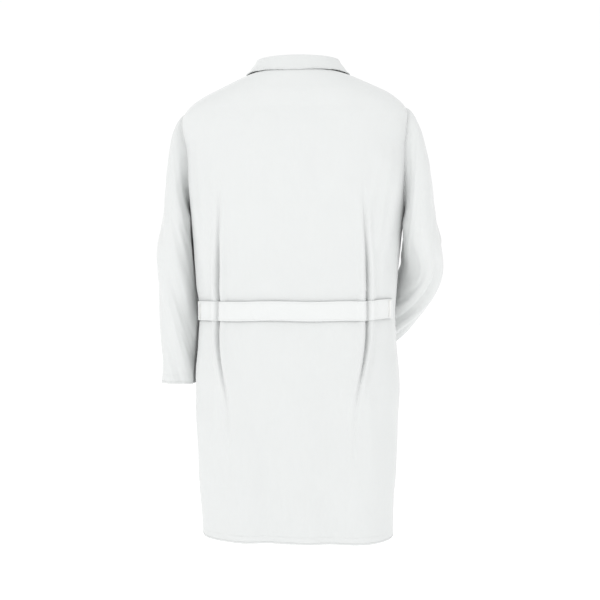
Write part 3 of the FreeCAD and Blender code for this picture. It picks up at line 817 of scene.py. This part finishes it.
# Rows of the collar: half width, half depth, level, dip at the front, reach at the front.
STAND_PROFILE = [
    (0.0940, 0.0830, 0.000, 0.010, -0.009), (0.0915, 0.0760, 0.009, 0.012, -0.003),
    (0.0890, 0.0705, 0.022, 0.015, 0.0), (0.0878, 0.0700, 0.0315, 0.018, 0.0),
    (0.0886, 0.0712, 0.0338, 0.019, 0.0),
]
FALL_PROFILE = [
    (0.0884, 0.0706, 0.0330, 0.019, 0.0), (0.0892, 0.0716, 0.0352, 0.019, 0.0),
    (0.0920, 0.0745, 0.0350, 0.020, 0.0), (0.0965, 0.0795, 0.0270, 0.022, 0.001),
    (0.1045, 0.0855, 0.0165, 0.026, 0.004), (0.1108, 0.0910, 0.0065, 0.034, 0.015),
    (0.1155, 0.0955, -0.0025, 0.042, 0.025),
]


def collar_rows(profile, turns):
    """A collar's cloth from its rows, round the neck and open at the front."""
    front = smooth(-np.sin(turns), 0.05, 0.80)
    rows = []
    for wide, deep, level, dip, reach in profile:
        rows.append(np.stack([(wide + 0 * turns) * np.cos(turns),
                              (deep + reach * front) * np.sin(turns),
                              level - dip * front], -1))
    return np.array(rows)


def lift_off(grid, gap):
    """Raise points so that none lies closer above the shoulders and chest than gap."""
    levels = np.linspace(NECK, -0.14, 180)
    a, b = widths(levels)
    back = 0.0125 * (1 - smooth(-levels, 0.0, 0.095))
    x, y = np.abs(grid[..., 0, None]), grid[..., 1, None]
    deep = b + np.where(y > 0, back, 0)
    inside = (x / a) ** 2.15 + (np.abs(y) / deep) ** 2.15 <= 1
    top = np.where(inside.any(-1), levels[inside.argmax(-1)], -0.14)
    grid[..., 2] = np.maximum(grid[..., 2], top + gap)
    return grid


def make_collar():
    turns = np.linspace(-0.98, math.pi + 0.98, 170)
    wave = 0.0007 * np.sin(turns * 5.0) + 0.0005 * np.sin(turns * 11.0 + 1.0)
    stand = collar_rows(spline(STAND_PROFILE, 14), turns)
    piece = grid_object("collar_stand_cloth", stand)
    thicken(piece, 0.0012)
    finish_piece(piece, stitched("collar_stand_twill", ("v", 0.006)), "torso", ["collar_stand"])
    fall = collar_rows(spline(FALL_PROFILE, 34), turns)
    down = np.linspace(0, 1, len(fall))[:, None]
    fall[..., 2] += wave * down
    # the pointed front corners reach out over the shoulders of the lapels
    corner = smooth(np.abs(turns - math.pi / 2), 1.95, 2.55) * down ** 1.3
    fall[..., 0] += 0.014 * corner * np.sign(np.cos(turns))
    fall[..., 2] -= 0.008 * corner
    fall = lift_off(fall, 0.0050)
    piece = grid_object("collar_fall_cloth", fall)
    thicken(piece, 0.0022)
    soften(piece, 0.0005, 2)
    finish_piece(piece, stitched("collar_fall_twill", ("v", 0.044), ("u", 0.006)), "torso",
                 ["collar_fall"])


LAPEL_LOW, LAPEL_HIGH = -0.373, -0.058


def make_lapel(side, word, base):
    levels = np.linspace(LAPEL_LOW, LAPEL_HIGH, 90)[::-1]
    columns = 34

    def outer(z):
        share = np.clip((z - LAPEL_LOW) / 0.311, 0, 1)
        return 0.0045 + 0.1035 * share ** 0.88 + 0.004 * np.sin(math.pi * share)

    share = np.linspace(1, 0, columns)[None, :]
    lift = base + 0.0021 * smooth(share, 0.0, 0.05) + 0.0034 * bump(share, 0.13, 0.12)
    lift = lift + 0.0012 * share ** 2 + 0 * levels[:, None]
    grid = front_grid(side, lift, near=lambda z: float(roll_line(z)), far=outer, levels=levels,
                      columns=columns)
    top = smooth(levels, -0.12, LAPEL_HIGH)[:, None] * (1 - share)
    grid[..., 2] += 0.016 * top
    piece = grid_object(f"{word}_lapel_cloth", grid)
    thicken(piece, 0.0014)
    finish_piece(piece, stitched(f"{word}_lapel_twill", ("u", 0.006), ("v", 0.006)), None,
                 [f"{word}_lapel"])
    weigh(piece, front_share)


make_collar()
make_lapel(1, "left", OVER)
make_lapel(-1, "right", UNDER)


# Belt, pockets and facings ----------------------------------------------------------------------

BELT_END = 0.214             # |x| of the belt's two ends
BELT_FOLDS = 0.78            # the share of the back's folds that shows through the belt


def back_grid(left, right, levels, columns, layer, folds=1.0):
    """Cloth on the back between two x positions, rows from the top down."""
    rows = [np.linspace(float(phi_at(np.array(left), np.array(z), 1)),
                        float(phi_at(np.array(right), np.array(z), 1)), columns) for z in levels]
    z = np.broadcast_to(np.asarray(levels, float)[:, None], (len(levels), columns))
    return surface(np.array(rows), z, layer, folds)


def make_belt():
    levels = np.linspace(BELT_HIGH, BELT_LOW, 30)
    columns = 200
    across = np.linspace(BELT_END, -BELT_END, columns)
    tall = np.linspace(0, 1, 30)[:, None]
    padded_up = 0.0012 * np.sin(math.pi * tall) ** 0.5
    ends = smooth(np.abs(across), 0.200, 0.2135)
    layer = 0.0052 + padded_up - 0.0026 * ends[None, :]
    grid = back_grid(BELT_END, -BELT_END, levels, columns, layer, BELT_FOLDS)
    grid[..., 2] += 0.006 * smooth(-grid[..., 0], 0.150, 0.205)
    grid[..., 2] += 0.0008 * np.sin(grid[..., 0] * 38)
    piece = grid_object("back_belt_cloth", grid)
    thicken(piece, 0.0024)
    soften(piece, 0.0006, 3)
    finish_piece(piece, BELT, "torso", ["back_belt"])
    # two bars of stitches across each end; the right end sits a little higher
    bars = []
    for x, rise in ((0.2035, 0.0), (0.2060, 0.0), (-0.2035, 0.006), (-0.2060, 0.006)):
        strip = back_grid(x - 0.0006, x + 0.0006, levels[2:-2], 4, 0.0066, BELT_FOLDS)
        strip[..., 2] += rise
        strip += 0.0004 * np.sin(np.arange(len(levels) - 4) * 2.4)[:, None, None]
        bars.append(grid_object("tack", strip))
    tacks = join("belt_tack_threads", bars)
    thicken(tacks, 0.0006)
    finish_piece(tacks, THREAD, "torso", ["belt_bar_tacks"])


def join(name, objects):
    """One object from several."""
    bm = bmesh.new()
    for obj in objects:
        bm.from_mesh(obj.data)
    mesh = bpy.data.meshes.new(name)
    bm.to_mesh(mesh)
    bm.free()
    for obj in objects:
        bpy.data.objects.remove(obj)
    made = bpy.data.objects.new(name, mesh)
    bpy.context.scene.collection.objects.link(made)
    return made


def make_pocket(name, side, base, near, far, low, high):
    levels = np.linspace(high, low, 60)
    columns = 46
    across = np.linspace(0, 1, columns)[None, :]
    down = np.linspace(0, 1, 60)[:, None]
    full = np.sin(math.pi * across) ** 0.55 * (1 - smooth(down, 0.55, 1.0))
    layer = base + 0.0014 + 0.0080 * full + 0.0008 * smooth(-down, -0.14, -0.12)
    layer = layer + 0.0010 * value_noise(across * 0.1 + 0 * down, down * 0.15 + 0 * across, 0.03, 21)
    grid = front_grid(side, layer, near=lambda z: near, far=lambda z: far, levels=levels,
                      columns=columns)
    sag = 0.004 * np.sin(math.pi * across) * (1 - smooth(down, 0.0, 0.3))
    grid[..., 2] -= sag
    piece = grid_object(f"{name}_cloth", grid)
    thicken(piece, 0.0013)
    finish_piece(piece, stitched(f"{name}_twill", ("v", 0.025), ("u", 0.003)), None, [name])
    weigh(piece, front_share)


def make_facing(side, word, base):
    levels = np.linspace(BREAK - 0.002, HEM + HEM_TALL + 0.001, 120)
    grid = front_grid(side, base - 0.0030, near=lambda z: float(roll_line(z)) + 0.0015,
                      far=lambda z: 0.070, levels=levels, columns=24)
    piece = grid_object(f"{word}_facing_cloth", grid)
    thicken(piece, 0.0008)
    finish_piece(piece, PLAIN, f"{word}_front", [f"{word}_front_facing"])


def make_neck_pieces():
    across = np.linspace(0.086, -0.086, 60)[None, :]
    down = np.linspace(0, 1, 26)[:, None]
    level = (NECK - 0.002) * (1 - down) + down * (-0.075 + 0.045 * (across / 0.086) ** 2)
    grid = on_body(across + 0 * down, level, 1, -0.0034)
    piece = grid_object("back_neck_facing_cloth", grid)
    thicken(piece, 0.0008)
    finish_piece(piece, PLAIN, "torso", ["back_neck_facing"])
    grid = on_body(np.linspace(0.032, -0.032, 30)[None, :], np.linspace(-0.040, -0.066, 14)[:, None], 1,
                   -0.0052)
    piece = grid_object("neck_label_tape", grid)
    thicken(piece, 0.0004)
    finish_piece(piece, LABEL, "torso", ["neck_label"])


make_belt()
make_pocket("left_pocket", 1, OVER, 0.040, 0.155, -0.800, -0.610)
make_pocket("right_pocket", -1, UNDER, 0.040, 0.155, -0.800, -0.610)
make_pocket("chest_pocket", 1, OVER, 0.070, 0.155, -0.345, -0.230)
make_facing(1, "left", OVER)
make_facing(-1, "right", UNDER)
make_neck_pieces()


# Loop, buttonholes and buttons ---------------------------------------------------------------------

BUTTONS = {"button_1": "top_button", "button_2": "second_button",
           "button_3": "third_button", "button_4": "low_button"}


def ribbon(points, normal, wide, thick, sides=10, waves=0.0):
    """A flat band with rounded edges along a line; normal is its thin direction."""
    points = np.array(points)
    along = np.gradient(points, axis=0)
    along /= np.linalg.norm(along, axis=1, keepdims=True)
    thin = np.broadcast_to(np.array(normal, float), points.shape)
    thin = thin - along * (thin * along).sum(1, keepdims=True)
    thin /= np.linalg.norm(thin, axis=1, keepdims=True)
    flat = np.cross(along, thin)
    turn = np.linspace(0, 2 * math.pi, sides, endpoint=False)
    swell = 1 + waves * np.sin(np.arange(len(points)) * 2.1)
    return (points[:, None] + flat[:, None] * (wide / 2 * np.cos(turn))[None, :, None]
            * swell[:, None, None] + thin[:, None] * (thick / 2 * np.sin(turn))[None, :, None])


def make_loop():
    line = spline([(-0.0240, 0.0620, 0.0148), (-0.0236, 0.0622, 0.0050), (-0.0165, 0.0626, -0.0070),
                   (0.0, 0.0628, -0.0102), (0.0165, 0.0626, -0.0070), (0.0236, 0.0622, 0.0050),
                   (0.0240, 0.0620, 0.0148)], 70)
    piece = grid_object("hanging_loop_tape", ribbon(line, (0, 1, 0), 0.0046, 0.0014), round_u=True)
    finish_piece(piece, TAPE, "loop", ["hanging_loop"])
    bars = []
    for x in (-0.024, 0.024):
        for k in range(5):
            z = 0.0172 + 0.0010 * k
            row = spline([(x - 0.0026, 0.0614, z), (x - 0.0012, 0.0606, z + 0.0002),
                          (x + 0.0012, 0.0606, z - 0.0002), (x + 0.0026, 0.0614, z)], 14)
            bars.append(grid_object(f"bar_{k}", ribbon(row, (0, 1, 0), 0.0009, 0.0008, 8, 0.1),
                                    round_u=True))
    finish_piece(join("loop_tack_threads", bars), THREAD, "torso", ["loop_tacks"])


def front_spot(x, z, layer):
    """A point near the middle of the front, off the body cloth by a layer."""
    return on_body(x, z, -1, layer)


def make_buttonholes():
    rings, slits = [], []
    for name in BUTTONS:
        low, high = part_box(name)
        level = (low.z + high.z) / 2
        turn = np.linspace(0, 2 * math.pi, 120)
        x = 0.0120 * np.sign(np.cos(turn)) * np.abs(np.cos(turn)) ** 0.8
        z = level + 0.0017 * np.sin(turn)
        line = front_spot(x, z, OVER)
        rings.append(grid_object("ring", ribbon(line, (0, -1, 0), 0.0017, 0.0008, 8, 0.12), round_u=True))
        span = np.linspace(-1, 1, 24)
        slit = np.stack([front_spot(0.0108 * span, level + tilt * 0.0005 * (1 - span ** 2), OVER + 0.0003)
                         for tilt in (1, 0, -1)])
        slits.append(grid_object("slit", slit))
    finish_piece(join("buttonhole_stitches", rings), THREAD, "left_front", ["buttonhole_welts"])
    finish_piece(join("buttonhole_slits", slits), SHADE, "left_front", [])


def make_button_threads():
    for name, body in BUTTONS.items():
        low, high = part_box(name)
        x, z, face = (low.x + high.x) / 2, (low.z + high.z) / 2, low.y + 0.0010
        bars = []
        for k, (a, b) in enumerate((((-1, -1), (1, 1)), ((-1, 1), (1, -1)))):
            for shift in (-0.00022, 0.00022):
                row = spline([(x + 0.0021 * a[0] + shift, face + 0.0012, z + 0.0021 * a[1]),
                              (x + 0.0015 * a[0] + shift, face - 0.0003, z + 0.0015 * a[1]),
                              (x + shift, face - 0.0006 - 0.0003 * k, z),
                              (x + 0.0015 * b[0] + shift, face - 0.0003, z + 0.0015 * b[1]),
                              (x + 0.0021 * b[0] + shift, face + 0.0012, z + 0.0021 * b[1])], 20)
                bars.append(grid_object("bar", ribbon(row, (0, -1, 0), 0.0005, 0.0005, 8), round_u=True))
        finish_piece(join(f"{name}_thread", bars), THREAD, body, [])


def dress(name, material):
    """Give a node of the frame its material."""
    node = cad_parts[name]
    node.data.materials.clear()
    node.data.materials.append(material)


make_loop()
make_buttonholes()
make_button_threads()
for button in BUTTONS:
    dress(button, BUTTON)
dress("thread_shanks", THREAD)
bpy.context.view_layer.update()


# Lights and floor ------------------------------------------------------------------------------

MIDDLE = -0.45               # the level that the lamps point at


def lights_and_floor():
    """Soft daylight from behind and in front, on a plain pale floor well below the hem."""
    floor = bpy.data.meshes.new("floor")
    half = 40.0
    level = HEM - 0.42
    floor.from_pydata([(-half, -half, level), (half, -half, level), (half, half, level),
                       (-half, half, level)], [], [(0, 1, 2, 3)])
    obj = bpy.data.objects.new("floor", floor)
    bpy.context.scene.collection.objects.link(obj)
    material = bpy.data.materials.new("pale_floor")
    material.use_nodes = True
    shader = material.node_tree.nodes["Principled BSDF"]
    shader.inputs["Base Color"].default_value = (0.95, 0.95, 0.95, 1)
    shader.inputs["Roughness"].default_value = 0.9
    shader.inputs["Emission Color"].default_value = (1, 1, 1, 1)
    shader.inputs["Emission Strength"].default_value = 0.25
    floor.materials.append(material)
    world = bpy.data.worlds.new("studio")
    world.use_nodes = True
    world.node_tree.nodes["Background"].inputs["Color"].default_value = (1, 1, 1, 1)
    world.node_tree.nodes["Background"].inputs["Strength"].default_value = 1.02
    bpy.context.scene.world = world
    bpy.context.scene.view_settings.view_transform = "Standard"
    for name, place, size, power in (("key", (1.7, 3.0, 1.7), 1.2, 30),
                                     ("fill", (-2.8, 1.6, 0.2), 2.4, 10),
                                     ("front_soft", (1.4, -3.0, 1.4), 1.2, 26)):
        data = bpy.data.lights.new(name, "AREA")
        data.energy = power
        data.size = size
        lamp = bpy.data.objects.new(name, data)
        bpy.context.scene.collection.objects.link(lamp)
        lamp.location = place
        aim = Vector((0, 0, MIDDLE)) - lamp.location
        lamp.rotation_euler = aim.to_track_quat("-Z", "Y").to_euler()


lights_and_floor()
